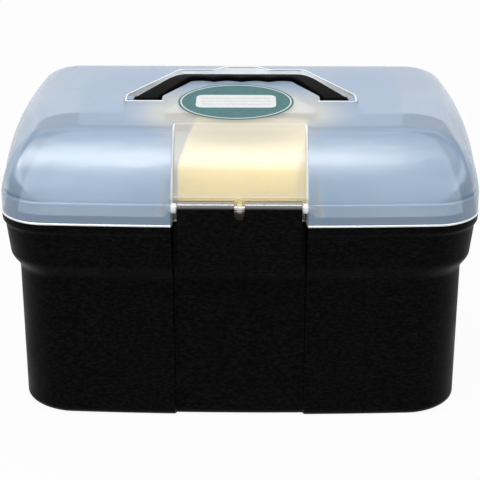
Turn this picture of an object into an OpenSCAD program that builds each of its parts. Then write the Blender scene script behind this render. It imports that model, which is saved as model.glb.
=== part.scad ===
// Horse grooming box: a moulded tub with a domed see-through lid, a carry handle sunk into the lid top,
// a snap latch at the front, two pinned hinges at the back, a lift-out tray and a sponge.
// The front faces -Y, +X is to the right, and the tub stands on z = 0.

/* [Box] */
// Width of the rim at its widest, halfway along the sides
box_w = 330; // [310:1:370]
// Depth of the rim at its corners, from front to back
box_d = 230; // [220:1:270]
// Height of the tub rim, where the lid edge rests
tub_h = 145.5; // [130:0.5:180]
// Height of the lid above the tub rim
lid_h = 55.3; // [52:0.1:70]
// Corner radius of the outline, seen from above
corner_r = 27; // [20:1:34]
// How far the middle of the front stands out from its corners
front_bow = 5.2; // [2:0.1:8]
// How far the middle of each side stands out from its corners
side_bow = 7.6; // [2:0.1:9]

/* [Tub] */
// Wall of the tub
tub_wall = 2.2; // [1.8:0.1:2.6]
// Floor of the tub
tub_floor = 2.8; // [2:0.1:4]
// Height of the wide band below the rim
band_h = 28; // [24:0.5:34]
// Height of the rounded shoulder below the band
shoulder_h = 15; // [12:0.5:20]
// How far the foot of the band stands in from the rim
band_in = 4.2; // [3.5:0.1:5]
// How far the lower body stands in from the rim
body_in = 9.6; // [8.5:0.1:11]
// Rounding of the bottom edge
bottom_r = 7; // [4:0.5:10]
// Height of the flared lip under the lid edge
lip_h = 8; // [6:0.5:10]
// How far the band stands in just below the lip
lip_in = 2.2; // [1.6:0.1:2.8]
// Height of the upstand that the lid closes over
upstand_h = 6; // [4:0.5:9]

/* [Front bay] */
// Width of the recessed bay in the middle of the front
bay_w = 87; // [85:0.5:96]
// Width of each sloping side of the bay
bay_bevel = 1.4; // [1:0.1:3]
// Depth of the bay in the tub
tub_bay = 2.4; // [1.5:0.1:3]
// Depth of the bay in the lid dome
dome_bay = 3.2; // [2:0.1:5]

/* [Lid] */
// Wall of the lid
lid_wall = 2; // [1.6:0.1:2.4]
// Height of the upright rim band of the lid
lid_rim_h = 16; // [15:0.1:20]
// Step from the rim band in to the dome
lid_step = 2.4; // [1.5:0.1:3.5]
// Width of the flat top at its ends, without the bow
top_w = 236; // [220:1:250]
// Depth of the flat top at its corners
top_d = 152; // [146:1:160]
// Corner radius of the flat top
top_corner_r = 6; // [4:0.5:12]

/* [Handle] */
// Distance over the outer faces of the two feet
handle_span = 151; // [144:1:160]
// Distance over the outer corners of the grip
grip_span = 92; // [86:1:100]
// Distance from the pivot to the front edge of the grip
handle_reach = 36; // [34:0.5:40]
// Front to back size of the grip
grip_d = 11; // [9:0.5:13]
// Thickness of the handle
handle_t = 10; // [8:0.5:11]
// How far the folded handle stands above the lid top
handle_proud = 3; // [2:0.5:4]
// Width of each foot
foot_w = 17; // [15:0.5:19]
// Radius of the round foot at the pivot
foot_r = 3.6; // [3:0.1:4.4]
// Free space beside each foot in its pocket
foot_gap = 5; // [4:0.5:6]
// Pitch of the finger grooves
groove_pitch = 20.6; // [18:0.1:22]
// Depth of the finger grooves
groove_depth = 3; // [1.5:0.1:4]
// Radius of the stub pins of the handle
handle_pin_r = 2.2; // [1.8:0.1:2.6]
// Distance of the handle pivot in front of the middle of the box
pivot_front = 5; // [2:0.5:8]
// Free space in front of and behind the folded handle
handle_gap = 3; // [2:0.5:5]
// Depth of the foot pockets
pocket_h = 12.5; // [12:0.5:15]

/* [Latch] */
// Width of the latch
latch_w = 82; // [70:0.5:83]
// Thickness of the latch plate
latch_t = 3; // [2.4:0.1:3.4]
// Distance from the pin down to the lower edge of the latch
latch_drop = 43.8; // [40:0.1:50]
// Radius of the rolled knuckle at the top of the latch
knuckle_r = 4.8; // [4.2:0.1:5.4]
// Width of the notch in the middle of the knuckle
notch_w = 6.4; // [5.5:0.1:9]
// Radius of the latch pin
latch_pin_r = 1.6; // [1.2:0.1:1.8]

/* [Rear hinges] */
// Distance of each rear hinge from the middle of the box
hinge_x = 90; // [75:1:105]
// Radius of the hinge knuckles
hinge_r = 4.2; // [3.8:0.1:4.6]
// Length of each hinge knuckle
hinge_len = 13; // [10:0.5:18]
// Radius of the hinge pins
hinge_pin_r = 1.6; // [1.2:0.1:2]

/* [Tray] */
// Height of the tray
tray_h = 26; // [20:0.5:28]
// Wall of the tray
tray_wall = 1.6; // [1.2:0.1:2.2]
// Floor of the tray
tray_floor = 1.8; // [1.2:0.1:2.4]
// Distance of each divider from the middle
divider_x = 57; // [56:1:70]

/* [Sponge] */
// Width of the sponge
sponge_w = 84; // [70:1:88]
// Front to back size of the sponge
sponge_d = 110; // [100:1:116]
// Height of the sponge
sponge_h = 66; // [60:1:68]
// Rounding of the edges of the sponge
sponge_r = 8; // [4:0.5:10]
// How far the sponge is turned in the tray, in degrees
sponge_turn = 5; // [0:0.5:6]

/* [Label] */
// Width of the oval label
label_w = 81; // [70:1:84]
// Front to back size of the oval label
label_d = 84; // [70:1:86]
// Thickness of the label
label_t = 0.3; // [0.2:0.1:0.5]

/* [Hidden] */
$fn = 48;

// Clearances and small common sizes
seat_gap = 0.3;
pin_gap = 0.05;
slide_gap = 0.8;
end_gap = 0.6;
overrun = 5;
edge_r = 0.5;
sink = 1;

// Half sizes of the rim at its corners
half_w = box_w / 2 - side_bow;
half_d = box_d / 2;
front_y = -half_d - front_bow;
top_z = tub_h + lid_h;
bay_half = bay_w / 2;

// Outlines are drawn with a few points on each side and an arc on each corner
corner_steps = 8;
side_shares = [-0.5, 0, 0.5];

function lerp(a, b, t) = a + (b - a) * t;
function smooth(t) = (1 - cos(180 * t)) / 2;
function arc(cx, cy, r, start, steps) =
    [for (k = [0 : steps]) let (a = start + 90 * k / steps) [cx + r * cos(a), cy + r * sin(a)]];

// Rounded rectangle, anticlockwise from the front
function rounded(hx, hy, r, front_x) = concat(
    [for (x = front_x) [x, -hy]],
    arc(hx - r, r - hy, r, -90, corner_steps),
    [for (s = side_shares) [hx, s * (hy - r)]],
    arc(hx - r, hy - r, r, 0, corner_steps),
    arc(r - hx, hy - r, r, 90, corner_steps),
    [for (s = side_shares) [-hx, -s * (hy - r)]],
    arc(r - hx, r - hy, r, 180, corner_steps));

// A level is [z, half width, half depth, corner radius, share of the bows, bay depth, bay half width]
function level_points(l) =
    let (hx = l[1], hy = l[2], fb = front_bow * l[4], sb = side_bow * l[4], b = l[6], b1 = b + bay_bevel)
    let (mid = (hx - l[3] + b1) / 2)
    [for (p = rounded(hx, hy, l[3], [-mid, -b1, -b, -b / 2, 0, b / 2, b, b1, mid]))
        let (in_bay = p.y < 0 && abs(p.x) < b + bay_bevel / 2)
        let (swell = p.y < 0 ? fb * (1 - pow(p.x / hx, 2)) / hy : 0)
        [p.x * (1 + sb * (1 - pow(p.y / hy, 2)) / hx), p.y * (1 + swell) + (in_bay ? l[5] : 0), l[0]]];

// One closed surface through a list of levels, with a flat cap at each end
module stack(levels) {
    n = len(levels[0]);
    last = len(levels) - 1;
    polyhedron(
        points = [for (l = levels) each l],
        faces = concat(
            [[for (j = [0 : n - 1]) j]],
            [for (i = [0 : last - 1]) for (j = [0 : n - 1]) let (a = i * n, b = a + n, k = (j + 1) % n)
                each [[a + j, b + j, b + k], [a + j, b + k, a + k]]],
            [[for (j = [n - 1 : -1 : 0]) last * n + j]]));
}

// A cylinder along X between two places
module x_rod(x0, x1, y, z, r) {
    translate([x0, y, z]) rotate([0, 90, 0]) cylinder(h = x1 - x0, r = r);
}

// A block between two corners
module block(a, b) {
    translate(a) cube(b - a);
}

// A Y-Z outline drawn along X between two places
module x_profile(x0, x1, points) {
    translate([x0, 0, 0]) rotate([90, 0, 90]) linear_extrude(x1 - x0) polygon(points);
}

// Sizes of the tub that other pieces follow
body_draft = 0.5;
foot_in = body_in + body_draft;
floor_r = bottom_r - tub_wall;
shoulder_z = tub_h - band_h - shoulder_h;
ledge_drop = 6;
ledge_z = tub_h - band_h - ledge_drop;
ledge_wall = 2.6;
ledge_in = band_in + ledge_wall + tub_wall / 2;
ledge_w = 4;
upstand_in = lid_wall + slide_gap;
upstand_wall = 2;
upstand_bay_half = bay_half + lid_wall + slide_gap;
rim_t = 2.4;

// Latch place: the knuckle is flush with the rim, and the lid bay leaves room behind it
latch_y = front_y + knuckle_r;
latch_sink = 3.7;
latch_z = tub_h + lid_rim_h - latch_sink;
knuckle_bay = 2 * knuckle_r + slide_gap;
lip_bay = latch_t + slide_gap;

function tub_level(z, inset, r, bay, bay_half_w) =
    [z, half_w - inset, half_d - inset, r, 1, bay, bay_half_w];
function shoulder_in(t) = lerp(body_in, band_in, smooth(t));

tub_outer = concat(
    [for (a = [0 : 30 : 90])
        tub_level(bottom_r * (1 - cos(a)), foot_in + bottom_r * (1 - sin(a)), corner_r, tub_bay, bay_half)],
    [for (t = [0 : 0.2 : 1])
        tub_level(shoulder_z + shoulder_h * t, shoulder_in(t), corner_r, tub_bay, bay_half)],
    [tub_level(tub_h - lip_h - edge_r, lip_in, corner_r, tub_bay, bay_half),
     tub_level(tub_h - lip_h, lip_in - edge_r / 2, corner_r, tub_bay, bay_half),
     tub_level(tub_h - lip_h / 2, edge_r, corner_r, lip_bay, bay_half),
     tub_level(tub_h - edge_r, edge_r / 2, corner_r, lip_bay, bay_half),
     tub_level(tub_h, edge_r, corner_r, lip_bay, bay_half)]);
upstand_levels =
    let (i = upstand_in, w = upstand_wall, r = corner_r - upstand_in)
    let (b = upstand_bay_half, top = tub_h + upstand_h)
    [tub_level(tub_h, i, r, knuckle_bay, b),
     tub_level(top - edge_r, i, r, knuckle_bay, b),
     tub_level(top, i + edge_r, r - edge_r, knuckle_bay, b + edge_r),
     tub_level(top, i + w - edge_r, r - w + edge_r, knuckle_bay, b + w - edge_r),
     tub_level(top - edge_r, i + w, r - w, knuckle_bay, b + w),
     tub_level(tub_h - rim_t, i + w, r - w, knuckle_bay, b + w)];
tub_inner =
    let (i = upstand_in + upstand_wall, r = corner_r - i, b = bay_half + tub_wall)
    [tub_level(tub_h - rim_t - edge_r, i, r, lip_bay, b),
     tub_level(tub_h - band_h, band_in + ledge_wall, r, tub_bay, b),
     tub_level(ledge_z, ledge_in, r, tub_bay, b),
     tub_level(ledge_z - edge_r, ledge_in + ledge_w, r, tub_bay, b),
     tub_level(tub_floor + floor_r, foot_in + tub_wall, r, tub_bay, b),
     tub_level(tub_floor + floor_r / 4, foot_in + tub_wall + floor_r / 3, r, tub_bay, b),
     tub_level(tub_floor, foot_in + tub_wall + floor_r, r, tub_bay, b)];

// Rear hinge place: just behind the rim, a little below the lid edge
hinge_y = half_d + hinge_r + slide_gap;
hinge_drop = 3;
hinge_z = tub_h - hinge_drop;
hinge_web_h = 9;

// Catch ridge on the tub, and the bead of the latch that sits under it
catch_reach = 0.4;
catch_h = 4;
catch_drop = 12;
bead_reach = 0.8;

module hinge_knuckle_tub(x0) {
    x_rod(x0, x0 + hinge_len, hinge_y, hinge_z, hinge_r);
    block([x0, half_d - lip_in - sink, hinge_z - hinge_r], [x0 + hinge_len, hinge_y, hinge_z]);
}

module base_tub() {
    catch_y = front_y + lip_in + tub_bay;
    color("#15161a") difference() {
        union() {
            stack([for (l = concat(tub_outer, upstand_levels, tub_inner)) level_points(l)]);
            for (side = [-1, 1]) {
                hinge_knuckle_tub(side * hinge_x - hinge_len * 1.5 - end_gap);
                hinge_knuckle_tub(side * hinge_x + hinge_len / 2 + end_gap);
            }
            x_profile(-bay_half / 2, bay_half / 2, [
                [catch_y + sink, tub_h - catch_drop - catch_h],
                [catch_y - catch_reach, tub_h - catch_drop - catch_h / 2],
                [catch_y - catch_reach, tub_h - catch_drop - catch_h / 4],
                [catch_y + sink, tub_h - catch_drop]]);
        }
        for (side = [-1, 1]) hinge_bore(side);
    }
}

module hinge_bore(side) {
    reach = hinge_len * 1.5 + end_gap + overrun;
    x_rod(side * hinge_x - reach, side * hinge_x + reach, hinge_y, hinge_z, hinge_pin_r + pin_gap);
}

module rear_hinge_pin(side) {
    reach = hinge_len * 1.5 + end_gap;
    color("#9a9ca0") x_rod(side * hinge_x - reach, side * hinge_x + reach, hinge_y, hinge_z, hinge_pin_r);
}

// Shape of the dome: powers of the curve along each end and along the front and back
end_rise = 2.7;
end_round = 2.26;
front_rise = 1.3;
front_round = 1.06;
corner_power = 3;
top_bow_share = 0.65;
top_bay = dome_bay * 1.4;
dome_shares = [0, 0.06, 0.2, 0.35, 0.5, 0.65, 0.78, 0.88, 0.95, 0.985, 1];
dome_z = tub_h + lid_rim_h;
dome_h = top_z - dome_z;
// Shelf of the bay, just above the knuckle of the latch
shelf_share = (latch_z + knuckle_r + end_gap - dome_z) / dome_h;
shelf_t = 1;

// One level of the dome at share u of its height, on a surface a wall further in
function dome_level(u, wall, bay, drop) =
    let (edge_w = half_w - lid_step, edge_d = half_d - lid_step)
    let (hx = lerp(top_w / 2, edge_w, pow(1 - pow(u, end_rise), 1 / end_round)))
    let (hy = lerp(top_d / 2, edge_d, pow(1 - pow(u, front_rise), 1 / front_round)))
    let (r = lerp(top_corner_r, corner_r, pow(1 - u, corner_power)))
    [dome_z + (dome_h - wall) * u + drop, hx - wall, hy - wall, max(r - wall, top_corner_r / 2),
     lerp(1, top_bow_share, u), bay, bay_half + wall];

function dome_levels(wall) =
    let (shelf = shelf_share + wall / dome_h)
    concat(
        [for (u = dome_shares) if (u < shelf) dome_level(u, wall, knuckle_bay, 0)],
        [dome_level(shelf, wall, knuckle_bay, 0),
         dome_level(shelf, wall, dome_bay, shelf_t)],
        [for (u = dome_shares) if (u > shelf + shelf_t / dome_h)
            dome_level(u, wall, lerp(dome_bay, top_bay, u), 0)]);

function rim_level(z, inset, grow) =
    tub_level(z, inset, corner_r - inset, knuckle_bay, bay_half + grow);

lid_edge_z = tub_h + seat_gap;
lid_rim_levels = [
    rim_level(dome_z - lid_wall, lid_wall, lid_wall),
    rim_level(lid_edge_z, lid_wall, lid_wall),
    rim_level(lid_edge_z, edge_r, 0),
    rim_level(lid_edge_z + edge_r, 0, 0),
    rim_level(dome_z - edge_r * 2, 0, 0),
    rim_level(dome_z - edge_r, edge_r, 0)];
lid_inner = dome_levels(lid_wall);
lid_levels = concat(
    [for (k = [len(lid_inner) - 1 : -1 : 0]) lid_inner[k]],
    lid_rim_levels,
    dome_levels(0));

// Handle sizes in plan, around the pivot line
pivot_y = -pivot_front;
pivot_z = top_z + handle_proud - handle_t * 0.7;
swing_r = top_z + handle_proud - pivot_z;
grip_front = pivot_y + handle_reach;
grip_back = grip_front + grip_d;
foot_outer = handle_span / 2;
foot_inner = foot_outer - foot_w;
groove_count = 4;
groove_half = groove_pitch * groove_count / 2;
handle_z = top_z + handle_proud - handle_t;

// Channel and pockets that take the folded handle
channel_z = handle_z - seat_gap;
pocket_z = top_z - pocket_h;
pocket_front = pivot_y - swing_r - handle_gap * 1.5;
pocket_back = pivot_y + swing_r + handle_gap;
finger_gap = 20;
scoop_w = 40;
scoop_d = 8;
pocket_wall = 2.4;

// Finger grooves along the front of the grip, as arcs between cusps, from right to left
groove_steps = 6;
groove_line = [for (k = [1 : groove_count * groove_steps - 1]) let (s = k / groove_steps)
    [groove_half - groove_pitch * s, grip_front + groove_depth * abs(sin(180 * s))]];

// The channel edge in front of the grip keeps off the grooves by a gap, and is drawn a little narrower
groove_gap = 1;
groove_draw_share = 0.97;

// The channel outline in plan, grown by a wall; its front edge follows the finger grooves
function channel(g) =
    let (xo = foot_outer + foot_gap + g, xi = foot_inner - handle_gap - g)
    let (yb = grip_back + finger_gap + g, xb = grip_span / 2 + g)
    let (s = scoop_w / 2 + g, ys = yb + scoop_d, yf = pocket_front - g, yo = pivot_y + handle_gap)
    concat(
        [[xo, yf], [xo, yo], [xb, yb], [s, yb], [s - scoop_d, ys], [scoop_d - s, ys], [-s, yb], [-xb, yb],
         [-xo, yo], [-xo, yf], [-xi, yf], [-xi, pivot_y]],
        [for (k = [len(groove_line) - 1 : -1 : 0])
            [groove_line[k].x * groove_draw_share, groove_line[k].y - groove_gap - g]],
        [[xi, pivot_y], [xi, yf]]);

module foot_pocket(side, grow, z0, z1) {
    xi = foot_inner - handle_gap - grow;
    xo = foot_outer + foot_gap + grow;
    x0 = side > 0 ? xi : -xo;
    x1 = side > 0 ? xo : -xi;
    block([x0, pocket_front - grow, z0], [x1, pocket_back + grow, z1]);
}

// Lug in the notch of the latch, and the bosses at the ends of the latch pin
lug_w = 3;
lug_rise = 2;
boss_r = 3.4;
boss_len = 6;

module lid_shell() {
    lug_back = front_y + knuckle_bay + lid_wall / 2;
    color("#c9d6e2") difference() {
        union() {
            stack([for (l = lid_levels) level_points(l)]);
            translate([0, 0, channel_z - pocket_wall])
                linear_extrude(top_z - edge_r - channel_z + pocket_wall) polygon(channel(pocket_wall));
            for (side = [-1, 1]) {
                foot_pocket(side, pocket_wall, pocket_z - pocket_wall, top_z - edge_r);
                lid_hinge_knuckle(side);
                boss_x = latch_w / 2 + end_gap;
                x_rod(side > 0 ? boss_x : -bay_half - boss_len, side > 0 ? bay_half + boss_len : -boss_x,
                    latch_y, latch_z, boss_r);
            }
            x_rod(-lug_w / 2, lug_w / 2, latch_y, latch_z, boss_r);
            block([-lug_w / 2, latch_y, latch_z - boss_r],
                [lug_w / 2, lug_back, latch_z + knuckle_r + lug_rise]);
        }
        translate([0, 0, channel_z]) linear_extrude(overrun + top_z - channel_z) polygon(channel(0));
        for (side = [-1, 1]) {
            foot_pocket(side, 0, pocket_z, top_z + overrun);
            hinge_bore(side);
            p1 = foot_outer + foot_gap + pocket_wall + overrun;
            x_rod(side > 0 ? foot_outer : -p1, side > 0 ? p1 : -foot_outer, pivot_y, pivot_z,
                handle_pin_r + pin_gap);
        }
        x_rod(-latch_pin_half - end_gap, latch_pin_half + end_gap, latch_y, latch_z, latch_pin_r + pin_gap);
    }
}

module lid_hinge_knuckle(side) {
    x0 = side * hinge_x - hinge_len / 2;
    x_rod(x0, x0 + hinge_len, hinge_y, hinge_z, hinge_r);
    block([x0, half_d - sink, tub_h + seat_gap],
        [x0 + hinge_len, hinge_y + hinge_r / 2, hinge_z + hinge_web_h]);
}

latch_pin_half = bay_half + boss_len - end_gap * 2;

module latch_hinge_pin() {
    color("#9a9ca0") x_rod(-latch_pin_half, latch_pin_half, latch_y, latch_z, latch_pin_r);
}

// The legs get thinner from the grip to the feet; their top is cut along this slope
slope_start = 2;
foot_cover_share = 0.94;
slope_y = grip_front - slope_start;
slope_end_z = pivot_z + foot_r * foot_cover_share;
slope_rate = (top_z + handle_proud - slope_end_z) / (slope_y - pivot_y);

module carry_handle() {
    outline = concat(
        [[-foot_outer, pivot_y], [-grip_span / 2, grip_back], [grip_span / 2, grip_back],
         [foot_outer, pivot_y], [foot_inner, pivot_y]],
        groove_line,
        [[-foot_inner, pivot_y]]);
    cut_y = pivot_y - overrun;
    cut_z = slope_end_z - overrun * slope_rate;
    high_z = top_z + handle_proud + overrun;
    color("#101114") {
        difference() {
            translate([0, 0, handle_z]) linear_extrude(handle_t) polygon(outline);
            x_profile(-foot_outer - sink, foot_outer + sink,
                [[cut_y, cut_z], [slope_y + overrun / slope_rate, high_z], [cut_y, high_z]]);
        }
        for (side = [-1, 1]) {
            x0 = side > 0 ? foot_inner : -foot_outer;
            x_rod(x0, x0 + foot_w, pivot_y, pivot_z, foot_r);
            p0 = foot_outer - sink;
            p1 = foot_outer + foot_gap + pocket_wall;
            x_rod(side > 0 ? p0 : -p1, side > 0 ? p1 : -p0, pivot_y, pivot_z, handle_pin_r);
        }
    }
}

latch_lip = 1.5;
latch_lip_h = 5;
notch_drop = 7;

module front_latch() {
    y0 = front_y;
    y1 = front_y + latch_t;
    low = latch_z - latch_drop;
    bead_z = tub_h - catch_drop - catch_h - seat_gap;
    color("#101114") difference() {
        union() {
            x_rod(-latch_w / 2, latch_w / 2, latch_y, latch_z, knuckle_r);
            x_profile(-latch_w / 2, latch_w / 2, [
                [y0, latch_z], [y0, low + latch_lip_h * 2], [y0 - latch_lip, low + edge_r],
                [y0 - latch_lip + edge_r, low],
                [y1 - latch_lip, low], [y1, low + latch_lip_h], [y1, bead_z - catch_h],
                [y1 + bead_reach, bead_z - catch_h / 2], [y1 + bead_reach, bead_z - catch_h / 4],
                [y1, bead_z], [y1, latch_z]]);
        }
        x_rod(-latch_w, latch_w, latch_y, latch_z, latch_pin_r + pin_gap);
        block([-notch_w / 2, y0 - overrun, latch_z - notch_drop],
            [notch_w / 2, latch_y + knuckle_r + overrun, latch_z + knuckle_r + overrun]);
    }
}

// The tray follows the inside of the tub, and its front clears the upstand when it is lifted
tray_z = ledge_z + seat_gap;
tray_in = ledge_in + slide_gap;
tray_bay_half = upstand_bay_half + upstand_wall + slide_gap;

// Outline of the tray in plan, a wall further in
function tray_outline(wall) =
    let (l = tub_level(0, tray_in + wall, corner_r - upstand_in - upstand_wall - wall, knuckle_bay,
        tray_bay_half + wall))
    [for (p = level_points(l)) [p.x, p.y]];

module lift_out_tray() {
    top = tray_z + tray_h;
    inner = divider_x - tray_wall / 2;
    outer = divider_x + tray_wall / 2;
    color("#b4bcc4") difference() {
        translate([0, 0, tray_z]) linear_extrude(tray_h) polygon(tray_outline(0));
        for (x = [[-half_w, -outer], [-inner, inner], [outer, half_w]]) intersection() {
            translate([0, 0, tray_z + tray_floor]) linear_extrude(tray_h) polygon(tray_outline(tray_wall));
            block([x[0], -half_d, tray_z], [x[1], half_d, top + overrun]);
        }
    }
}

// The sponge stands in the middle compartment of the tray, a little turned
sponge_z = tray_z + tray_floor + seat_gap;
sponge_front = front_y + tray_in + knuckle_bay + tray_wall + slide_gap;
sponge_x = 3.5;
sponge_y = sponge_front + sponge_d / 2 * cos(sponge_turn) + sponge_w / 2 * sin(sponge_turn);
sponge_hollow = 1.2;
edge_steps = 3;

// One level of the sponge: the soft sides stand in a little at their ends
function sponge_level(z, inset) =
    let (hx = sponge_w / 2 - inset, hy = sponge_d / 2 - inset)
    let (dx = sponge_hollow / hx, dy = sponge_hollow / hy)
    [for (p = rounded(hx, hy, sponge_r, [-hx / 2, 0, hx / 2]))
        [p.x * (1 - dx * pow(p.y / hy, 2)), p.y * (1 - dy * pow(p.x / hx, 2)), z]];

module grooming_sponge() {
    r = sponge_r;
    low = [for (k = [0 : edge_steps]) let (a = 90 * k / edge_steps)
        sponge_level(r * (1 - cos(a)), r * (1 - sin(a)) + sponge_hollow)];
    high = [for (k = [0 : edge_steps]) let (a = 90 * k / edge_steps)
        sponge_level(sponge_h - r * (1 - sin(a)), r * (1 - cos(a)) + sponge_hollow)];
    color("#f2cf6a") translate([sponge_x, sponge_y, sponge_z]) rotate([0, 0, -sponge_turn])
        stack(concat(low, [sponge_level(sponge_h / 2, 0)], high));
}

label_x = -3.4;
label_y = -18;
label_points = 64;

module name_label() {
    color("#3f7175") translate([label_x, label_y, top_z]) linear_extrude(label_t)
        polygon([for (k = [0 : label_points - 1]) let (a = 360 * k / label_points)
            [label_w / 2 * cos(a), label_d / 2 * sin(a)]]);
}

base_tub();
lid_shell();
carry_handle();
front_latch();
latch_hinge_pin();
rear_hinge_pin(-1);  // rear_hinge_pin_left
rear_hinge_pin(1);  // rear_hinge_pin_right
lift_out_tray();
grooming_sponge();
name_label();
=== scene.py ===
"""Horse grooming box: looks of the tub, the frosted lid, the handle, the latch, the sponge and the label."""

import math
from collections import namedtuple

import bmesh
import bpy
from mathutils import Matrix, Vector, noise


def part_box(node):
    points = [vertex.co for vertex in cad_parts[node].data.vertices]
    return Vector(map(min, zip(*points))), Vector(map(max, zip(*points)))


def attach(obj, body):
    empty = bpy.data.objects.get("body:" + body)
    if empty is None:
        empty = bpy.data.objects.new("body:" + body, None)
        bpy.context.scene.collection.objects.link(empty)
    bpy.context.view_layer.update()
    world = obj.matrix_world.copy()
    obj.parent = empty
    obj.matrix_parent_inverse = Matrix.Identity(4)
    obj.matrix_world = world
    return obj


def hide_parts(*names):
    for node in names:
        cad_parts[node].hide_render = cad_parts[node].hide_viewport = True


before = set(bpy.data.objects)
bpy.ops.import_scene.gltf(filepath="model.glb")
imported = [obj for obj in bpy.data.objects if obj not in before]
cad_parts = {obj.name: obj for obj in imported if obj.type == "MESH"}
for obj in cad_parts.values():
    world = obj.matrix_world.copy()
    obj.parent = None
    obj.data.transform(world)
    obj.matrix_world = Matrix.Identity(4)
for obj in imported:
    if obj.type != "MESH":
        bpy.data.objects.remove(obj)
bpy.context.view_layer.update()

MM = 0.001

# Camera, fitted to the outline of the box in the photo
IMAGE_PX = 480
SENSOR_MM = 36.0
FOCAL_PX = 1558.9
CAMERA_AT = (10.0, -1067.1, 522.4)
CAMERA_TARGET = (-0.79, 0.0, 88.64)
CLIP_START_M = 0.05
CLIP_END_M = 50


def aim(piece, place, target):
    """Puts a camera or a lamp at a place and turns it to a target."""
    piece.location = place
    piece.rotation_euler = (target - place).to_track_quat("-Z", "Y").to_euler()


def make_camera():
    data = bpy.data.cameras.new("camera")
    data.sensor_width = SENSOR_MM
    data.lens = FOCAL_PX * SENSOR_MM / IMAGE_PX
    data.clip_start = CLIP_START_M
    data.clip_end = CLIP_END_M
    camera = bpy.data.objects.new("camera", data)
    bpy.context.collection.objects.link(camera)
    aim(camera, Vector(CAMERA_AT) * MM, Vector(CAMERA_TARGET) * MM)
    bpy.context.scene.camera = camera


make_camera()

# Sizes in millimetres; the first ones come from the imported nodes
lid_low, lid_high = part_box("lid_shell")
latch_low, latch_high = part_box("front_latch")
BOX_W = (lid_high[0] - lid_low[0]) / MM
TOP_Z = lid_high[2] / MM
LATCH_HALF = (latch_high[0] - latch_low[0]) / 2 / MM
BOX_D = 230.0
TUB_H = 145.5
CORNER_R = 27.0
FRONT_BOW = 5.2
SIDE_BOW = 7.6
TUB_WALL = 2.2
TUB_FLOOR = 2.8
BAND_H = 28.0
SHOULDER_H = 15.0
BAND_IN = 4.2
BODY_IN = 9.6
BOTTOM_R = 7.0
LIP_H = 8.0
LIP_IN = 2.2
UPSTAND_H = 6.0
UPSTAND_WALL = 2.0
UPSTAND_ROOT = 2.4
FOOT_DRAFT = 0.5
BAND_WALL = 2.6
LEDGE_DROP = 6.0
LEDGE_W = 4.0
EDGE_R = 0.5
RIM_ROUND = ((0.6, 0.3), (0.15, 0.4), (0.0, 0.8))
BAY_HALF = 43.5
BAY_BEVEL = 1.4
TUB_BAY = 2.4
DOME_BAY = 3.2
LID_WALL = 2.0
LID_RIM_H = 16.0
LID_STEP = 2.4
TOP_HALF_W = 118.0
TOP_HALF_D = 76.0
TOP_CORNER_R = 6.0
SLIDE_GAP = 0.8
SEAT_GAP = 0.3
END_GAP = 0.6

# Places that follow from these sizes, and the latch's knuckle and the rear hinges
HALF_W = BOX_W / 2 - SIDE_BOW
HALF_D = BOX_D / 2
FRONT_Y = -HALF_D - FRONT_BOW
BAND_Z = TUB_H - BAND_H
FOOT_IN = BODY_IN + FOOT_DRAFT
UPSTAND_IN = LID_WALL + SLIDE_GAP
INNER_IN = UPSTAND_IN + UPSTAND_WALL
INNER_R = CORNER_R - INNER_IN
KNUCKLE_R = 4.8
KNUCKLE_BAY = 2 * KNUCKLE_R + SLIDE_GAP
LATCH_T = 3.0
LATCH_Y = FRONT_Y + KNUCKLE_R
LATCH_SINK = 3.7
LATCH_Z = TUB_H + LID_RIM_H - LATCH_SINK
LIP_BAY = LATCH_T + SLIDE_GAP
HINGE_R = 4.2
HINGE_X = 90.0
HINGE_LEN = 13.0
HINGE_Y = HALF_D + HINGE_R + SLIDE_GAP
HINGE_SINK = 3.0
HINGE_Z = TUB_H - HINGE_SINK
HINGE_ROOT = 1.0
HINGE_WEB_H = 9.0

# Mesh density: steps round and along the outlines, and up the tub and the dome
CORNER_STEPS = 14
SIDE_STEPS = 14
BAY_STEPS = 6
WALL_STEPS = 6
BOTTOM_STEPS = 8
SPAN_START = 0.15
SPAN_END = 0.95
SPAN_STEPS = 6
SHOULDER_STEPS = 14
LIP_STEPS = 5
EDGE_STEPS = 4
DOME_STEPS = 26
ARC_STEPS = 16

# How softly the walls of the bay start and end
WALL_SOFT = 0.35

# The largest share of a side that a rounded corner takes up, and the steps of its curve
CORNER_SHARE = 0.45
ROUND_STEPS = 5

Level = namedtuple("Level", "z hx hy r share bay bay_half")


def lerp(a, b, t):
    return a + (b - a) * t


def smooth(t):
    t = min(max(t, 0.0), 1.0)
    return (1 - math.cos(math.pi * t)) / 2


def spread(a, b, steps):
    return [lerp(a, b, k / steps) for k in range(steps + 1)]


def quarter_turn(steps):
    """Angles from 0 to a right angle, in radians."""
    return [math.radians(a) for a in spread(0, 90, steps)]


def arc(cx, cy, r, start, end, steps):
    """Places along a part of a circle between two angles in degrees."""
    turns = [math.radians(a) for a in spread(start, end, steps)]
    return [(cx + r * math.cos(a), cy + r * math.sin(a)) for a in turns]


def corner(cx, cy, r, start):
    return arc(cx, cy, r, start, start + 90, CORNER_STEPS)


def front_places(level):
    """Places along the front edge, from the middle to the right: the bay, its wall and the side."""
    inner = level.bay_half - WALL_SOFT
    outer = level.bay_half + BAY_BEVEL + WALL_SOFT
    bay = spread(0, inner, BAY_STEPS)
    wall = spread(inner, outer, WALL_STEPS)[1:]
    side = spread(outer, level.hx - level.r, SIDE_STEPS)[1:-1]
    return bay + wall + side


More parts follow.
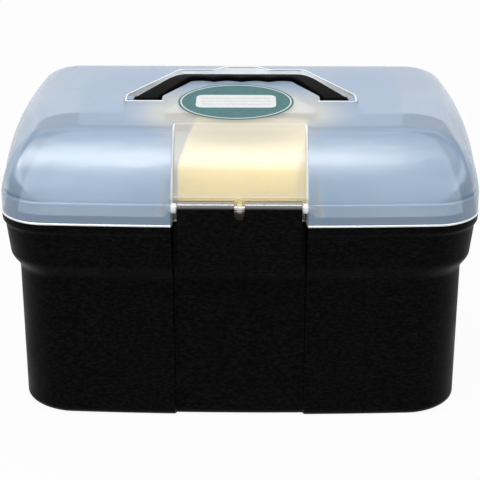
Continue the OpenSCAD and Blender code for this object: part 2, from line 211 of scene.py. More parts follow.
def ring(level):
    """One closed outline with bowed front and sides and the bay in the front, anticlockwise."""
    right = front_places(level)
    hx, hy, r = level.hx, level.hy, level.r
    flat = [(-x, -hy) for x in reversed(right[1:])] + [(x, -hy) for x in right]
    flat += corner(hx - r, r - hy, r, -90)
    flat += [(hx, y) for y in spread(r - hy, hy - r, SIDE_STEPS)[1:-1]]
    flat += corner(hx - r, hy - r, r, 0)
    flat += [(x, hy) for x in spread(hx - r, r - hx, SIDE_STEPS)[1:-1]]
    flat += corner(r - hx, hy - r, r, 90)
    flat += [(-hx, y) for y in spread(hy - r, r - hy, SIDE_STEPS)[1:-1]]
    flat += corner(r - hx, r - hy, r, 180)
    front = FRONT_BOW * level.share
    side = SIDE_BOW * level.share
    outer = level.bay_half + BAY_BEVEL + WALL_SOFT
    wide = BAY_BEVEL + 2 * WALL_SOFT
    points = []
    for x, y in flat:
        swell = front * (1 - (x / hx) ** 2) / hy if y < 0 else 0
        recess = level.bay * smooth((outer - abs(x)) / wide) if y <= -hy else 0
        points.append((x * (1 + side * (1 - (y / hy) ** 2) / hx), y * (1 + swell) + recess, level.z))
    return points


def mesh_object(name, points, faces, materials, face_slots=None):
    """A new object from points in millimetres."""
    mesh = bpy.data.meshes.new(name)
    mesh.from_pydata([Vector(p) * MM for p in points], [], faces)
    for material in materials:
        mesh.materials.append(material)
    if face_slots:
        mesh.polygons.foreach_set("material_index", face_slots)
    work = bmesh.new()
    work.from_mesh(mesh)
    bmesh.ops.recalc_face_normals(work, faces=work.faces)
    work.to_mesh(mesh)
    work.free()
    piece = bpy.data.objects.new(name, mesh)
    bpy.context.collection.objects.link(piece)
    return piece


def stack(name, levels, materials, slot_of=None):
    """A closed mesh through the levels, with a flat cap at each end."""
    rings = [ring(level) for level in levels]
    count = len(rings[0])
    points = [p for one in rings for p in one]
    faces = []
    slots = []
    for i in range(len(rings) - 1):
        for j in range(count):
            k = (j + 1) % count
            faces.append((i * count + j, i * count + k, (i + 1) * count + k, (i + 1) * count + j))
            middle = (rings[i][j][0] + rings[i][k][0]) / 2
            is_front = rings[i][j][1] < 0
            slots.append(slot_of(i, middle, is_front) if slot_of else 0)
    last = (len(rings) - 1) * count
    faces.append(tuple(range(count)))
    faces.append(tuple(last + j for j in range(count)))
    slots += [0, 0]
    return mesh_object(name, points, faces, materials, slots)


def between(name, first, last, materials, slot):
    """A closed mesh between two outlines with equally many points."""
    count = len(first)
    faces = [tuple(range(count)), tuple(range(count, 2 * count))]
    faces += [(j, (j + 1) % count, (j + 1) % count + count, j + count) for j in range(count)]
    return mesh_object(name, first + last, faces, materials, [slot] * len(faces))


def prism(name, outline, z0, z1, materials, slot=0):
    """An X-Y outline drawn along Z."""
    first, last = [[(x, y, z) for x, y in outline] for z in (z0, z1)]
    return between(name, first, last, materials, slot)


def along_x(name, x0, x1, profile, materials, slot=0):
    """A Y-Z outline drawn along X."""
    first, last = [[(x, y, z) for y, z in profile] for x in (x0, x1)]
    return between(name, first, last, materials, slot)


def along_y(name, y0, y1, profile, materials, slot=0):
    """An X-Z outline drawn along Y."""
    first, last = [[(x, y, z) for x, z in profile] for y in (y0, y1)]
    return between(name, first, last, materials, slot)


def ellipse(cx, cy, a, b, steps=120):
    turns = [2 * math.pi * k / steps for k in range(steps)]
    return [(cx + a * math.cos(t), cy + b * math.sin(t)) for t in turns]


def circle(cx, cy, r, steps=40):
    return ellipse(cx, cy, r, r, steps)


def rounded_outline(points, radius, steps=ROUND_STEPS):
    """The outline with each corner replaced by a small curve."""
    out = []
    count = len(points)
    for k in range(count):
        here = Vector(points[k])
        before = Vector(points[k - 1]) - here
        after = Vector(points[(k + 1) % count]) - here
        reach = min(radius, before.length * CORNER_SHARE, after.length * CORNER_SHARE)
        start = here + before.normalized() * reach
        end = here + after.normalized() * reach
        for s in range(steps + 1):
            t = s / steps
            out.append(tuple(start * (1 - t) ** 2 + here * 2 * t * (1 - t) + end * t ** 2))
    return out


def rounded_outline_open(points, radius):
    """The same for an open line, whose two ends stay."""
    each = ROUND_STEPS + 1
    inner = rounded_outline(points, radius)[each:-each]
    return [points[0]] + inner + [points[-1]]


def apply_modifiers(piece):
    graph = bpy.context.evaluated_depsgraph_get()
    shape = bpy.data.meshes.new_from_object(piece.evaluated_get(graph))
    old = piece.data
    piece.modifiers.clear()
    piece.data = shape
    bpy.data.meshes.remove(old)


def use_up(piece):
    mesh = piece.data
    bpy.data.objects.remove(piece)
    bpy.data.meshes.remove(mesh)


def combine(piece, other, operation):
    """Boolean of two closed meshes; the other one is used up."""
    modifier = piece.modifiers.new("combine", "BOOLEAN")
    modifier.operation = operation
    modifier.solver = "EXACT"
    modifier.object = other
    apply_modifiers(piece)
    use_up(other)


def join(piece, others):
    """Adds the shells of other pieces to one piece."""
    work = bmesh.new()
    work.from_mesh(piece.data)
    for other in others:
        work.from_mesh(other.data)
    work.to_mesh(piece.data)
    work.free()
    for other in others:
        use_up(other)


def shade(piece, angle=32):
    """Smooth faces, with sharp edges from an angle in degrees on."""
    for face in piece.data.polygons:
        face.use_smooth = True
    piece.data.set_sharp_from_angle(angle=math.radians(angle))
    normals = piece.modifiers.new("normals", "WEIGHTED_NORMAL")
    normals.keep_sharp = True


def bevel(piece, width, segments=3, angle=35):
    """Rounds the edges that are sharper than an angle in degrees."""
    modifier = piece.modifiers.new("bevel", "BEVEL")
    modifier.width = width * MM
    modifier.segments = segments
    modifier.limit_method = "ANGLE"
    modifier.angle_limit = math.radians(angle)
    apply_modifiers(piece)


def settle(piece, body, slot, *nodes):
    """The piece rides on a body and stands for its nodes; the finish it is given is not used."""
    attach(piece, body)
    if nodes:
        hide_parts(*nodes)


# Materials
def tree_of(material):
    """The nodes, the links and the main shader of a material."""
    nodes = material.node_tree.nodes
    return nodes, material.node_tree.links, nodes["Principled BSDF"]


def new_material(name):
    material = bpy.data.materials.new(name)
    material.use_nodes = True
    return material, *tree_of(material)


def noise_node(nodes, links, scale, detail, stretch=(1, 1, 1)):
    """Noise in object coordinates, in metres."""
    place = nodes.new("ShaderNodeTexCoord")
    mapping = nodes.new("ShaderNodeMapping")
    mapping.inputs["Scale"].default_value = stretch
    texture = nodes.new("ShaderNodeTexNoise")
    texture.inputs["Scale"].default_value = scale
    texture.inputs["Detail"].default_value = detail
    links.new(place.outputs["Object"], mapping.inputs["Vector"])
    links.new(mapping.outputs["Vector"], texture.inputs["Vector"])
    return texture


def cell_node(nodes, links, scale):
    """Round cells in object coordinates."""
    place = nodes.new("ShaderNodeTexCoord")
    texture = nodes.new("ShaderNodeTexVoronoi")
    texture.inputs["Scale"].default_value = scale
    links.new(place.outputs["Object"], texture.inputs["Vector"])
    return texture


def ramp_node(nodes, links, source, low, high, start=0.3, end=0.7):
    ramp = nodes.new("ShaderNodeValToRGB")
    ramp.color_ramp.elements[0].position = start
    ramp.color_ramp.elements[1].position = end
    ramp.color_ramp.elements[0].color = low
    ramp.color_ramp.elements[1].color = high
    links.new(source, ramp.inputs["Fac"])
    return ramp


def grey(value):
    return (value, value, value, 1)


def bump_node(nodes, links, source, target, strength, distance):
    """Bumps from a height value into a normal socket of the shader."""
    bump = nodes.new("ShaderNodeBump")
    bump.inputs["Strength"].default_value = strength
    bump.inputs["Distance"].default_value = distance
    links.new(source, bump.inputs["Height"])
    links.new(bump.outputs["Normal"], target)


def black_plastic(name, dark, light, rough_low, rough_high, specular):
    """Moulded black plastic with a fine grain, a few pale specks and faint scratches."""
    material, nodes, links, shader = new_material(name)
    grain = noise_node(nodes, links, scale=330, detail=6, stretch=(1, 1, 2))
    colour = ramp_node(nodes, links, grain.outputs["Fac"], (*dark, 1), (*light, 1), start=0.42, end=0.78)
    links.new(colour.outputs["Color"], shader.inputs["Base Color"])
    cloud = noise_node(nodes, links, scale=35, detail=3)
    rough = ramp_node(nodes, links, cloud.outputs["Fac"], grey(rough_low), grey(rough_high))
    links.new(rough.outputs["Color"], shader.inputs["Roughness"])
    scratch = noise_node(nodes, links, scale=60, detail=6, stretch=(1, 4, 14))
    bump_node(nodes, links, scratch.outputs["Fac"], shader.inputs["Normal"], strength=0.06, distance=0.0004)
    shader.inputs["Specular IOR Level"].default_value = specular
    return material


def height_fade(nodes, links, low_z, high_z, low=0.0, high=1.0):
    """A value that goes from low to high between two heights."""
    place = nodes.new("ShaderNodeTexCoord")
    split = nodes.new("ShaderNodeSeparateXYZ")
    fade = nodes.new("ShaderNodeMapRange")
    fade.interpolation_type = "SMOOTHSTEP"
    fade.inputs["From Min"].default_value = low_z * MM
    fade.inputs["From Max"].default_value = high_z * MM
    fade.inputs["To Min"].default_value = low
    fade.inputs["To Max"].default_value = high
    links.new(place.outputs["Object"], split.inputs["Vector"])
    links.new(split.outputs["Z"], fade.inputs["Value"])
    return fade.outputs["Result"]


# Colour sockets of the mix node, which share their names with its other sockets
MIX_SHARE = 0
MIX_FIRST = 6
MIX_SECOND = 7
MIX_RESULT = 2


def mix_colour(nodes, links, share, first, second):
    """Colour that goes from the first to the second, where the second is fixed."""
    mix = nodes.new("ShaderNodeMix")
    mix.data_type = "RGBA"
    links.new(share, mix.inputs[MIX_SHARE])
    links.new(first, mix.inputs[MIX_FIRST])
    mix.inputs[MIX_SECOND].default_value = (*second, 1)
    return mix.outputs[MIX_RESULT]


def glossy_skin(material, weight, roughness):
    """Adds a thin even gloss."""
    _, _, shader = tree_of(material)
    shader.inputs["Coat Weight"].default_value = weight
    shader.inputs["Coat Roughness"].default_value = roughness


def polished_top(material, low_z, high_z):
    """Adds a glossy skin that fades in between two heights."""
    nodes, links, shader = tree_of(material)
    links.new(height_fade(nodes, links, low_z, high_z), shader.inputs["Coat Weight"])
    shader.inputs["Coat IOR"].default_value = 2.6
    shader.inputs["Coat Roughness"].default_value = 0.2


def frosted_plastic(name, low, high, transmission, roughness, alpha, coat, coat_ior=2.1):
    """Milky plastic: part of the light goes through it, the rest is scattered, and the skin is glossy."""
    material, nodes, links, shader = new_material(name)
    cloud = noise_node(nodes, links, scale=22, detail=3)
    colour = ramp_node(nodes, links, cloud.outputs["Fac"], (*low, 1), (*high, 1))
    links.new(colour.outputs["Color"], shader.inputs["Base Color"])
    grain = noise_node(nodes, links, scale=700, detail=3)
    bump_node(nodes, links, grain.outputs["Fac"], shader.inputs["Normal"], strength=0.03, distance=0.0002)
    wave = noise_node(nodes, links, scale=45, detail=5, stretch=(1, 1, 2.5))
    bump_node(nodes, links, wave.outputs["Fac"], shader.inputs["Coat Normal"], strength=0.12, distance=0.002)
    shader.inputs["Transmission Weight"].default_value = transmission
    shader.inputs["Roughness"].default_value = roughness
    shader.inputs["IOR"].default_value = 1.2
    shader.inputs["Alpha"].default_value = alpha
    shader.inputs["Coat Weight"].default_value = coat
    shader.inputs["Coat IOR"].default_value = coat_ior
    shader.inputs["Coat Roughness"].default_value = 0.24
    return material


def milky_top(material, low_z, high_z, alpha):
    """Makes the wall milkier between two heights."""
    nodes, links, shader = tree_of(material)
    start = shader.inputs["Alpha"].default_value
    links.new(height_fade(nodes, links, low_z, high_z, start, alpha), shader.inputs["Alpha"])


def clear_and_glow_zone(material, centre, reach, alpha, painted_glow):
    """Makes the wall clearer over an oval in plan, with a soft edge, and paints a warm glow into its colour
    there.
    """
    nodes, links, shader = tree_of(material)
    place = nodes.new("ShaderNodeTexCoord")
    mapping = nodes.new("ShaderNodeMapping")
    mapping.inputs["Location"].default_value = (-centre[0] / reach[0], -centre[1] / reach[1], 0)
    mapping.inputs["Scale"].default_value = (1 / reach[0], 1 / reach[1], 0)
    far = nodes.new("ShaderNodeVectorMath")
    far.operation = "LENGTH"
    fade = nodes.new("ShaderNodeMapRange")
    fade.interpolation_type = "SMOOTHSTEP"
    fade.inputs["From Min"].default_value = CLEAR_FADE[0]
    fade.inputs["From Max"].default_value = CLEAR_FADE[1]
    fade.inputs["To Min"].default_value = 1
    fade.inputs["To Max"].default_value = 0
    links.new(place.outputs["Object"], mapping.inputs["Vector"])
    links.new(mapping.outputs["Vector"], far.inputs[0])
    links.new(far.outputs["Value"], fade.inputs["Value"])
    inside = fade.outputs["Result"]
    cover = nodes.new("ShaderNodeMapRange")
    cover.inputs["To Min"].default_value = shader.inputs["Alpha"].default_value
    cover.inputs["To Max"].default_value = alpha
    links.new(inside, cover.inputs["Value"])
    links.new(cover.outputs["Result"], shader.inputs["Alpha"])
    # painted glow: the colour turns warm cream over the oval, standing in for the lit sponge under the lid
    colour = shader.inputs["Base Color"].links[0].from_socket
    links.new(mix_colour(nodes, links, inside, colour, painted_glow), shader.inputs["Base Color"])


def pale_plastic(name, low, high, rough_low, rough_high):
    """Uncoloured plastic with soft clouds and a fine grain."""
    material, nodes, links, shader = new_material(name)
    cloud = noise_node(nodes, links, scale=30, detail=4)
    colour = ramp_node(nodes, links, cloud.outputs["Fac"], (*low, 1), (*high, 1))
    links.new(colour.outputs["Color"], shader.inputs["Base Color"])
    grain = noise_node(nodes, links, scale=800, detail=3)
    rough = ramp_node(nodes, links, grain.outputs["Fac"], grey(rough_low), grey(rough_high))
    links.new(rough.outputs["Color"], shader.inputs["Roughness"])
    bump_node(nodes, links, grain.outputs["Fac"], shader.inputs["Normal"], strength=0.05, distance=0.0003)
    return material


def foam(name, edge_z):
    """Yellow foam with fine cells, larger open pits darkened by painted shade, a paler painted-light tone on
    its top and a painted glow.
    """
    material, nodes, links, shader = new_material(name)
    cells = cell_node(nodes, links, scale=700)
    pits = cell_node(nodes, links, scale=260)
    # painted shade: the open pits turn a darker orange, as if in shadow
    pit_shade = ramp_node(nodes, links, pits.outputs["Distance"], grey(0.8), grey(0), start=0.1, end=0.3)
    colour = ramp_node(nodes, links, cells.outputs["Distance"], (*FOAM_DARK, 1), (*FOAM_LIGHT, 1),
                       start=0.1, end=0.5)
    # painted light: near the top the colour turns paler and duller, standing in for the haze on the top and
    # evening out the stronger light from above
    painted_top = height_fade(nodes, links, edge_z - FOAM_FADE[0], edge_z - FOAM_FADE[1])
    skin = mix_colour(nodes, links, painted_top, colour.outputs["Color"], FOAM_TOP_PAINTED)
    links.new(mix_colour(nodes, links, pit_shade.outputs["Color"], skin, FOAM_PIT_SHADE), shader.inputs["Base Color"])
    bump_node(nodes, links, cells.outputs["Distance"], shader.inputs["Normal"], strength=0.4, distance=0.0008)
    shader.inputs["Roughness"].default_value = 0.95
    shader.inputs["Specular IOR Level"].default_value = 0.1
    # painted glow: the foam shines a little by itself, standing in for light scattered through it and the
    # milky lid
    shader.inputs["Emission Color"].default_value = (*FOAM_GLOW, 1)
    shader.inputs["Emission Strength"].default_value = FOAM_GLOW_LEVEL
    return material


def printed_film(name, low, high):
    """Satin print on film, with faint fibres."""
    material, nodes, links, shader = new_material(name)
    fibre = noise_node(nodes, links, scale=260, detail=3)
    colour = ramp_node(nodes, links, fibre.outputs["Fac"], (*low, 1), (*high, 1))
    links.new(colour.outputs["Color"], shader.inputs["Base Color"])
    bump_node(nodes, links, fibre.outputs["Fac"], shader.inputs["Normal"], strength=0.03, distance=0.0002)
    shader.inputs["Roughness"].default_value = 0.4
    shader.inputs["Specular IOR Level"].default_value = 0.1
    return material


def steel(name):
    """Drawn steel with streaks along the pin."""
    material, nodes, links, shader = new_material(name)
    streaks = noise_node(nodes, links, scale=120, detail=4, stretch=(0.1, 8, 8))
    rough = ramp_node(nodes, links, streaks.outputs["Fac"], grey(0.25), grey(0.42))
    links.new(rough.outputs["Color"], shader.inputs["Roughness"])
    shader.inputs["Base Color"].default_value = (0.56, 0.57, 0.58, 1)
    shader.inputs["Metallic"].default_value = 1
    return material


# Colours of the foam and the painted shade in its pits, the heights below its top where a paler painted-light
# tone takes over, and its painted glow
FOAM_DARK = (0.96, 0.68, 0.17)
FOAM_LIGHT = (1.0, 0.78, 0.26)
FOAM_TOP_PAINTED = (0.82, 0.73, 0.44)
FOAM_PIT_SHADE = (0.6, 0.36, 0.07)
FOAM_FADE = (2.0, 0.5)
FOAM_GLOW = (1.0, 0.75, 0.22)
FOAM_GLOW_LEVEL = 0.26

# Where the latch gets glossy, where the front panel gets milky, and where the lid is clearer and carries a
# painted warm glow
LATCH_GLOSS_Z = (LATCH_Z + 0.6, LATCH_Z + 2.8)
PANEL_MILKY_Z = (178.0, 187.0)
PANEL_MILKY_ALPHA = 0.45
CLEAR_CENTRE_M = (-0.001, -0.04)
CLEAR_REACH_M = (0.07, 0.056)
CLEAR_FADE = (0.6, 1.2)
CLEAR_ALPHA = 0.38
PAINTED_GLOW_TINT = (0.92, 0.91, 0.84)

DEEP_BLACK = (0.0002, 0.0002, 0.0002)

TUB_BLACK = black_plastic("tub_black", DEEP_BLACK, (0.006, 0.006, 0.0055),
                          rough_low=0.34, rough_high=0.5, specular=0.035)
HANDLE_BLACK = black_plastic("handle_black", (0.002, 0.002, 0.0025), (0.004, 0.004, 0.005),
                             rough_low=0.25, rough_high=0.35, specular=0.006)
glossy_skin(HANDLE_BLACK, weight=0.02, roughness=0.12)
LATCH_BLACK = black_plastic("latch_black", DEEP_BLACK, (0.006, 0.006, 0.006),
                            rough_low=0.3, rough_high=0.42, specular=0.04)
polished_top(LATCH_BLACK, *LATCH_GLOSS_Z)
TRAY_PALE = pale_plastic("tray_pale", (0.68, 0.74, 0.8), (0.76, 0.81, 0.86), rough_low=0.4, rough_high=0.55)
FROSTED = frosted_plastic("frosted_lid", (0.255, 0.405, 0.61), (0.29, 0.44, 0.64),
                          transmission=0.1, roughness=0.3, alpha=0.62, coat=1)
clear_and_glow_zone(FROSTED, CLEAR_CENTRE_M, CLEAR_REACH_M, CLEAR_ALPHA, PAINTED_GLOW_TINT)
# painted highlight: the lid's edges, the walls of its recess, the rim bead and the bosses are near-white and
# opaque, standing in for the bright lines that light draws along the edges of milky plastic
FROSTED_EDGE_HIGHLIGHT = frosted_plastic("frosted_edge_highlight", (0.9, 0.94, 0.98), (0.95, 0.97, 1.0),
                               transmission=0.1, roughness=0.4, alpha=1, coat=1)
# painted glow: the front panel and the lug are warm white, unlike the blue of the rest of the same lid,
# standing in for the lit sponge behind them
FROSTED_PANEL_GLOW = frosted_plastic("frosted_panel_glow", (0.96, 0.95, 0.89), (0.98, 0.97, 0.92),
                                transmission=0.05, roughness=0.3, alpha=0.3, coat=0.5, coat_ior=2.2)
milky_top(FROSTED_PANEL_GLOW, *PANEL_MILKY_Z, PANEL_MILKY_ALPHA)
FROSTED_INSIDE = frosted_plastic("frosted_inside", (0.97, 0.98, 0.99), (0.98, 0.99, 1.0),
                                 transmission=0.5, roughness=0.2, alpha=0.08, coat=0)
FOAM = foam("sponge_foam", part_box("grooming_sponge")[1][2] / MM)
LABEL_GREEN = printed_film("label_green", (0.035, 0.125, 0.13), (0.05, 0.16, 0.165))
LABEL_WHITE = printed_film("label_white", (0.66, 0.67, 0.67), (0.72, 0.73, 0.73))
LABEL_GREY = printed_film("label_grey", (0.3, 0.34, 0.36), (0.36, 0.4, 0.42))
STEEL = steel("pin_steel")

# The four looks of the lid, and their slots in this order; the edge look is a painted highlight and the panel
# look a painted glow
LID_MATERIALS = [FROSTED, FROSTED_EDGE_HIGHLIGHT, FROSTED_PANEL_GLOW, FROSTED_INSIDE]
WALL_SLOT, EDGE_HIGHLIGHT_SLOT, PANEL_GLOW_SLOT, INSIDE_SLOT = range(4)


def tub_level(z, inset, r=CORNER_R, bay=TUB_BAY, bay_half=BAY_HALF):
    return Level(z, HALF_W - inset, HALF_D - inset, r, 1, bay, bay_half)


def tub_outside():
    """Levels from the bottom up to the rim."""
    shoulder_z = BAND_Z - SHOULDER_H
    lip_z = TUB_H - LIP_H
    levels = []
    for a in quarter_turn(BOTTOM_STEPS):
        levels.append(tub_level(BOTTOM_R * (1 - math.cos(a)), FOOT_IN + BOTTOM_R * (1 - math.sin(a))))
    for t in spread(SPAN_START, SPAN_END, SPAN_STEPS):
        levels.append(tub_level(lerp(BOTTOM_R, shoulder_z, t), lerp(FOOT_IN, BODY_IN, t)))
    for t in spread(0, 1, SHOULDER_STEPS):
        levels.append(tub_level(shoulder_z + SHOULDER_H * t, lerp(BODY_IN, BAND_IN, smooth(t))))
    for t in spread(SPAN_START, SPAN_END, SPAN_STEPS):
        levels.append(tub_level(lerp(BAND_Z, lip_z, t), lerp(BAND_IN, LIP_IN, t)))
    for t in spread(0, 1, LIP_STEPS):
        inset = lerp(LIP_IN, EDGE_R, smooth(t))
        levels.append(tub_level(lip_z + LIP_H / 2 * t, inset, bay=lerp(TUB_BAY, LIP_BAY, t)))
    return levels + [tub_level(TUB_H - drop, inset, bay=LIP_BAY) for drop, inset in RIM_ROUND]


def tub_upstand():
    """Levels over the low wall that stands inside the lid's rim."""
    top = TUB_H + UPSTAND_H
    places = [(TUB_H, 0), (top - EDGE_R, 0), (top, EDGE_R), (top, UPSTAND_WALL - EDGE_R)]
    places += [(top - EDGE_R, UPSTAND_WALL), (TUB_H - UPSTAND_ROOT, UPSTAND_WALL)]
    r = CORNER_R - UPSTAND_IN
    bay_half = BAY_HALF + UPSTAND_IN
    return [tub_level(z, UPSTAND_IN + step, r - step, KNUCKLE_BAY, bay_half + step) for z, step in places]


def tub_inside():
    """Levels down the inside: the band, the ledge for the tray, the walls and the floor."""
    bay_half = BAY_HALF + TUB_WALL
    ledge_in = BAND_IN + BAND_WALL + TUB_WALL / 2
    ledge_z = BAND_Z - LEDGE_DROP
    floor_r = BOTTOM_R - TUB_WALL
    low_in = FOOT_IN + TUB_WALL
    root = tub_level(TUB_H - UPSTAND_ROOT - EDGE_R, INNER_IN, INNER_R, LIP_BAY, bay_half)
    places = [(BAND_Z, BAND_IN + BAND_WALL), (ledge_z, ledge_in), (ledge_z - EDGE_R, ledge_in + LEDGE_W)]
    for t in spread(0.2, 1, 4):
        places.append((lerp(ledge_z, TUB_FLOOR + floor_r, t), lerp(ledge_in + LEDGE_W, low_in, t)))
    for a in quarter_turn(EDGE_STEPS)[1:]:
        places.append((TUB_FLOOR + floor_r * (1 - math.sin(a)), low_in + floor_r * (1 - math.cos(a))))
    return [root] + [tub_level(z, inset, INNER_R, TUB_BAY, bay_half) for z, inset in places]


def hinge_knuckle(x0, bottom, top, front, material):
    """One knuckle of a rear hinge with the web that carries it."""
    rod = along_x("knuckle", x0, x0 + HINGE_LEN, circle(HINGE_Y, HINGE_Z, HINGE_R), material)
    back = HINGE_Y + (HINGE_R / 2 if top > HINGE_Z + HINGE_R else 0)
    profile = [(front, bottom), (back, bottom), (back, top), (front, top)]
    return [rod, along_x("web", x0, x0 + HINGE_LEN, profile, material)]


def make_tub():
    tub = stack("tub_shell", tub_outside() + tub_upstand() + tub_inside(), [TUB_BLACK])
    extra = []
    for side in (-1, 1):
        for x0 in (side * HINGE_X - HINGE_LEN * 1.5 - END_GAP, side * HINGE_X + HINGE_LEN / 2 + END_GAP):
            extra += hinge_knuckle(x0, HINGE_Z - HINGE_R, HINGE_Z, HALF_D - LIP_IN - HINGE_ROOT, [TUB_BLACK])
    join(tub, extra)
    shade(tub)
    settle(tub, "tub", "black_plastic", "base_tub")


# Lid; shares are heights on the dome, from 0 at its foot to 1 at its top
DOME_Z = TUB_H + LID_RIM_H
DOME_H = TOP_Z - DOME_Z
LID_EDGE_Z = TUB_H + SEAT_GAP
END_RISE = 2.7
END_ROUND = 2.26
FRONT_RISE = 1.3
FRONT_ROUND = 1.06
CORNER_POWER = 3
TOP_BOW_SHARE = 0.65
TOP_BAY_GROWTH = 1.4
TOP_BAY = DOME_BAY * TOP_BAY_GROWTH
SHELF_SHARE = (LATCH_Z + KNUCKLE_R + END_GAP - DOME_Z) / DOME_H
SHELF_ROUND_SHARES = (0.012, 0.026, 0.05)
SHELF_BAY_SHARE = 0.92
DOME_END_SHARE = 0.94
RIDGE_SHARE = 0.975
RIDGE_DROP = 1.2
TOP_RINGS = ((0.72, 0.0), (0.4, 1.8), (0.14, 4.2), (0.0, 7.5))
RIM_BEAD = 0.5
RIM_BEAD_H = 1.0
BEAD_ROUND = ((0.0, 0.6), (0.2, 0.2), (0.7, 0.0), (RIM_BEAD_H, 0.0))
LID_EDGE_R = 0.4
RIM_R = 1.2
BAY_LINE = 0.3


def dome_level(u, wall, bay, z=None, inset=0.0):
    """One outline of the dome at the share u, moved in by a wall."""
    hx = lerp(TOP_HALF_W, HALF_W - LID_STEP, (1 - u ** END_RISE) ** (1 / END_ROUND))
    hy = lerp(TOP_HALF_D, HALF_D - LID_STEP, (1 - u ** FRONT_RISE) ** (1 / FRONT_ROUND))
    r = lerp(TOP_CORNER_R, CORNER_R, (1 - u) ** CORNER_POWER)
    r = max(r - wall - inset, TOP_CORNER_R / 2)
    height = DOME_Z + (DOME_H - wall) * u if z is None else z
    inset = inset + wall
    return Level(height, hx - inset, hy - inset, r, lerp(1, TOP_BOW_SHARE, u), bay, BAY_HALF + wall)


def dome_levels(wall):
    """Levels from the foot of the dome to its top, over the shelf above the latch."""
    shelf = SHELF_SHARE + wall / DOME_H
    levels = [dome_level(shelf * t, wall, KNUCKLE_BAY) for t in (0.0, 0.3, 0.7)]
    levels.append(dome_level(shelf, wall, KNUCKLE_BAY))
    first, second, third = [shelf + share for share in SHELF_ROUND_SHARES]
    levels.append(dome_level(first, wall, lerp(KNUCKLE_BAY, DOME_BAY, SHELF_BAY_SHARE)))
    levels.append(dome_level(second, wall, DOME_BAY))
    for t in spread(0, 1, DOME_STEPS):
        u = lerp(third, DOME_END_SHARE, math.sin(math.pi / 2 * t))
        levels.append(dome_level(u, wall, lerp(DOME_BAY, TOP_BAY, u)))
    top = TOP_Z - wall
    levels.append(dome_level(RIDGE_SHARE, wall, TOP_BAY, top - RIDGE_DROP))
    for drop, inset in TOP_RINGS:
        levels.append(dome_level(1, wall, TOP_BAY, top - drop, inset))
    return levels


def rim_level(z, inset, grow=0.0):
    return tub_level(z, inset, CORNER_R - inset, KNUCKLE_BAY, BAY_HALF + grow)


def lid_shell():
    """The inside from the top down, round the edge and up the outside, with a look for each face."""
    inner = list(reversed(dome_levels(LID_WALL)))
    inner.append(rim_level(DOME_Z - LID_WALL, LID_WALL, LID_WALL))
    inner.append(rim_level(LID_EDGE_Z + LID_EDGE_R, LID_WALL, LID_WALL))
    inner.append(rim_level(LID_EDGE_Z, LID_WALL - LID_EDGE_R, LID_WALL - LID_EDGE_R))
    edge_start = len(inner) - 1
    z = LID_EDGE_Z
    outer = [rim_level(z + rise, inset) for rise, inset in BEAD_ROUND]
    outer.append(rim_level(z + RIM_BEAD_H + RIM_BEAD, RIM_BEAD))
    edge_end = len(inner) + len(outer) - 2
    outer.append(rim_level(z + LID_RIM_H / 2, RIM_BEAD))
    for a in quarter_turn(EDGE_STEPS):
        outer.append(rim_level(DOME_Z - RIM_R * (1 - math.sin(a)), RIM_BEAD + RIM_R * (1 - math.cos(a))))

    def slot_of(i, x, is_front):
        out = abs(x) - BAY_HALF if is_front else BAY_HALF
        if i < edge_start:
            return INSIDE_SLOT
        # painted highlight on the rim's edge and the walls of the bay; painted glow on the panel
        if i <= edge_end or BAY_LINE < out < BAY_BEVEL:
            return EDGE_HIGHLIGHT_SLOT
        return PANEL_GLOW_SLOT if out < BAY_LINE else WALL_SLOT

    return stack("lid_dome", inner + outer + dome_levels(0), LID_MATERIALS, slot_of)


# Handle, folded into its channel
HANDLE_T = 10.0
HANDLE_PROUD = 3.0
HANDLE_TOP = TOP_Z + HANDLE_PROUD
HANDLE_Z = HANDLE_TOP - HANDLE_T
PIVOT_SHARE = 0.7
PIVOT_Y = -5.0
PIVOT_Z = HANDLE_TOP - HANDLE_T * PIVOT_SHARE
SWING_R = HANDLE_T * PIVOT_SHARE
FOOT_R = 3.6
FOOT_OUTER = 75.5
FOOT_INNER = 58.5
FOOT_GAP = 5.0
FOOT_EDGE = 0.6
STUB_R = 2.2
STUB_STEPS = 24
GRIP_HALF = 46.0
GRIP_FRONT = 31.0
GRIP_BACK = 42.0
GRIP_CORNER_R = 7.0
GRIP_EDGE = 1.6
GROOVE_PITCH = 20.6
GROOVE_COUNT = 4
GROOVE_HALF = GROOVE_PITCH * GROOVE_COUNT / 2
GROOVE_DEPTH = 3.0
GROOVE_STEPS = 12
SLOPE_SETBACK = 2.0
SLOPE_FOOT_SHARE = 0.94
SLOPE_Y = GRIP_FRONT - SLOPE_SETBACK
SLOPE_END_Z = PIVOT_Z + FOOT_R * SLOPE_FOOT_SHARE
SLOPE_RATE = (HANDLE_TOP - SLOPE_END_Z) / (SLOPE_Y - PIVOT_Y)

# The recess in the lid, with a channel for the grip and a pocket for each foot
HANDLE_GAP = 3.0
FINGER_GAP = 20.0
SCOOP_HALF = 20.0
SCOOP_D = 8.0
GROOVE_GAP = 1.0
GROOVE_DRAW = 0.97
RECESS_R = 2.5
CHANNEL_Z = HANDLE_Z - SEAT_GAP
CHANNEL_SINK = 0.5
POCKET_WALL = 2.4
POCKET_DEPTH = 12.5
POCKET_Z = TOP_Z - POCKET_DEPTH
POCKET_SINK = 0.6
POCKET_FRONT = PIVOT_Y - SWING_R - HANDLE_GAP * 1.5
POCKET_BACK = PIVOT_Y + SWING_R + HANDLE_GAP
STUB_BOSS_R = 3.8
STUB_BOSS_ROOT = 0.5

# Width of the bead along the recess, and its section: shares of that width, and heights
RECESS_BEAD = 1.1
RECESS_BEAD_SECTION = ((0.0, -0.4), (0.0, 0.15), (0.3, 0.38), (0.7, 0.38), (1.0, 0.15), (1.0, -0.4))

# What carries the latch
LUG_W = 3.0
LUG_RISE = 2.0
BOSS_R = 3.4
BOSS_LEN = 6.0

